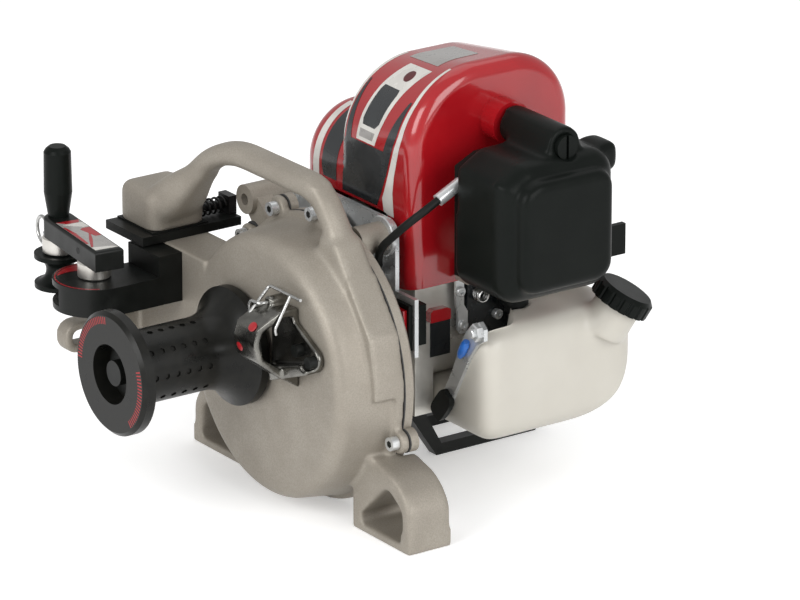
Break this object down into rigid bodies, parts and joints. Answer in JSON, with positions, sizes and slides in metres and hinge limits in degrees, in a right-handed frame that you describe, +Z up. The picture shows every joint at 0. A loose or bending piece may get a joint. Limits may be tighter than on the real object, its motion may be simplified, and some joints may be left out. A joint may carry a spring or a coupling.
{
  "type": "capstan winch",
  "caption": "Portable petrol capstan winch: cast gear case with windowed feet and carry handle, flared rope drum, roller rope guide with swing gate, tail guide, and shrouded engine with tank.",
  "frame": {"origin": "floor level, under the middle of the whole winch", "axes": "+X to the right seen from the capstan, +Y from the capstan to the engine, +Z up"},
  "size_m": [0.352, 0.34, 0.29],
  "materials": {
    "cast_aluminium": "sand cast, bead blasted",
    "gasket": "matte",
    "zinc_steel": "zinc plated",
    "bearing_steel": "ground",
    "polished_steel": "turned",
    "gear_steel": "oiled",
    "spring_steel": "bright wire",
    "black_steel": "satin black",
    "dark_drum": "dark hard anodised",
    "dark_casting": "dark casting",
    "black_rubber": "matte",
    "black_plastic": "satin moulded",
    "red_plastic": "gloss red",
    "white_plastic": "translucent white moulding",
    "filter_foam": "foam"
  },
  "bodies": {
    "winch": {"front_case": "cast_aluminium", "case_gasket": "gasket", "rear_case": "cast_aluminium", "case_screws": "zinc_steel", "shaft_bearings": "bearing_steel", "shaft_seal": "black_rubber", "clutch_shoes": "gear_steel", "carry_handle": "cast_aluminium", "guide_rail": "black_steel", "rail_pad": "black_rubber", "coil_spring": "spring_steel", "spring_bolt": "zinc_steel", "anchor_stud": "zinc_steel", "guide_arm": "black_steel", "arm_bolts": "zinc_steel", "guide_pin": "zinc_steel", "pivot_collar": "polished_steel", "tail_guide": "dark_casting", "tail_guide_screws": "black_steel", "engine_plate": "zinc_steel", "plate_screws": "zinc_steel", "stop_switch": "black_plastic", "crankcase": "cast_aluminium", "cylinder": "cast_aluminium", "engine_shroud": "red_plastic", "carburettor": "cast_aluminium", "cleaner_base": "black_plastic", "air_filter": "filter_foam", "cleaner_cover": "black_plastic", "fuel_tank": "white_plastic", "tank_grommet": "black_rubber", "fuel_tubes": "black_rubber", "tank_guard": "black_steel", "muffler": "dark_casting", "muffler_guard": "black_steel", "recoil_cover": "black_plastic", "starter_grip": "black_plastic", "cable_ends": "zinc_steel", "throttle_cable": "black_rubber"},
    "capstan": {"capstan_drum": "dark_drum", "drum_shaft": "bearing_steel", "drum_bolt": "black_steel", "output_gear": "gear_steel"},
    "countershaft": {"countershaft": "gear_steel", "intermediate_gear": "gear_steel"},
    "input": {"input_pinion": "gear_steel", "clutch_drum": "zinc_steel"},
    "front_roller": {"front_roller": "black_plastic"},
    "gate": {"lever_bar": "black_steel", "roller_stud": "zinc_steel", "gate_collar": "polished_steel", "hand_grip": "black_plastic"},
    "rear_roller": {"rear_roller": "black_plastic"},
    "lock_pin": {"lock_pin": "zinc_steel"},
    "pull_ring": {"pull_ring": "spring_steel"},
    "wire_gate": {"wire_gate": "spring_steel"},
    "rocker": {"switch_rocker": "red_plastic"},
    "fuel_cap": {"fuel_cap": "black_plastic"},
    "cover_knob": {"cover_knob": "black_plastic"},
    "choke": {"choke_lever": "black_plastic"}
  },
  "joints": [
    {"name": "capstan_spin", "type": "hinge", "parent": "winch", "child": "capstan", "pos_m": [0.0105, -0.042, 0.1056], "axis": [0, 1, 0], "continuous": true},
    {"name": "countershaft_spin", "type": "hinge", "parent": "winch", "child": "countershaft", "pos_m": [0.04792, -0.042, 0.13801], "axis": [0, 1, 0], "continuous": true},
    {"name": "input_spin", "type": "hinge", "parent": "winch", "child": "input", "pos_m": [0.01, -0.042, 0.146], "axis": [0, 1, 0], "continuous": true},
    {"name": "front_roller_spin", "type": "hinge", "parent": "winch", "child": "front_roller", "pos_m": [-0.086, -0.12, 0.125], "axis": [0, 0, 1], "continuous": true},
    {"name": "gate_swing", "type": "hinge", "parent": "winch", "child": "gate", "pos_m": [-0.086, -0.12, 0.15], "axis": [0, 0, 1], "range_deg": [0, 100]},
    {"name": "rear_roller_spin", "type": "hinge", "parent": "gate", "child": "rear_roller", "pos_m": [-0.14059, -0.1133, 0.122], "axis": [0, 0, 1], "continuous": true},
    {"name": "lock_pin_slide", "type": "slide", "parent": "gate", "child": "lock_pin", "axis": [-0.9925, 0.1219, 0], "range_m": [0, 0.005]},
    {"name": "pull_ring_swing", "type": "hinge", "parent": "lock_pin", "child": "pull_ring", "pos_m": [-0.15622, -0.11138, 0.142], "axis": [0, 0, 1], "range_deg": [-40, 40]},
    {"name": "wire_gate_swing", "type": "hinge", "parent": "winch", "child": "wire_gate", "pos_m": [0.064, -0.078, 0.153], "axis": [0, 1, 0], "range_deg": [0, 30], "stiffness_Nm_per_rad": 0.02},
    {"name": "rocker_tilt", "type": "hinge", "parent": "winch", "child": "rocker", "pos_m": [0.08899, 0.0065, 0.12604], "axis": [1, 0, 0], "range_deg": [-8, 8]},
    {"name": "fuel_cap_spin", "type": "hinge", "parent": "winch", "child": "fuel_cap", "pos_m": [0.134, 0.142, 0.118], "axis": [0.265, 0.424, 0.866], "continuous": true},
    {"name": "cover_knob_spin", "type": "hinge", "parent": "winch", "child": "cover_knob", "pos_m": [0.156, 0.0865, 0.2515], "axis": [1, 0, 0], "continuous": true},
    {"name": "choke_swing", "type": "hinge", "parent": "winch", "child": "choke", "pos_m": [0.146, 0.122, 0.179], "axis": [0, 1, 0], "range_deg": [-20, 20]}
  ],
  "couplings": [
    {"joint": "countershaft_spin", "follows": "capstan_spin", "ratio": -5.6},
    {"joint": "input_spin", "follows": "capstan_spin", "ratio": 29.12}
  ]
}
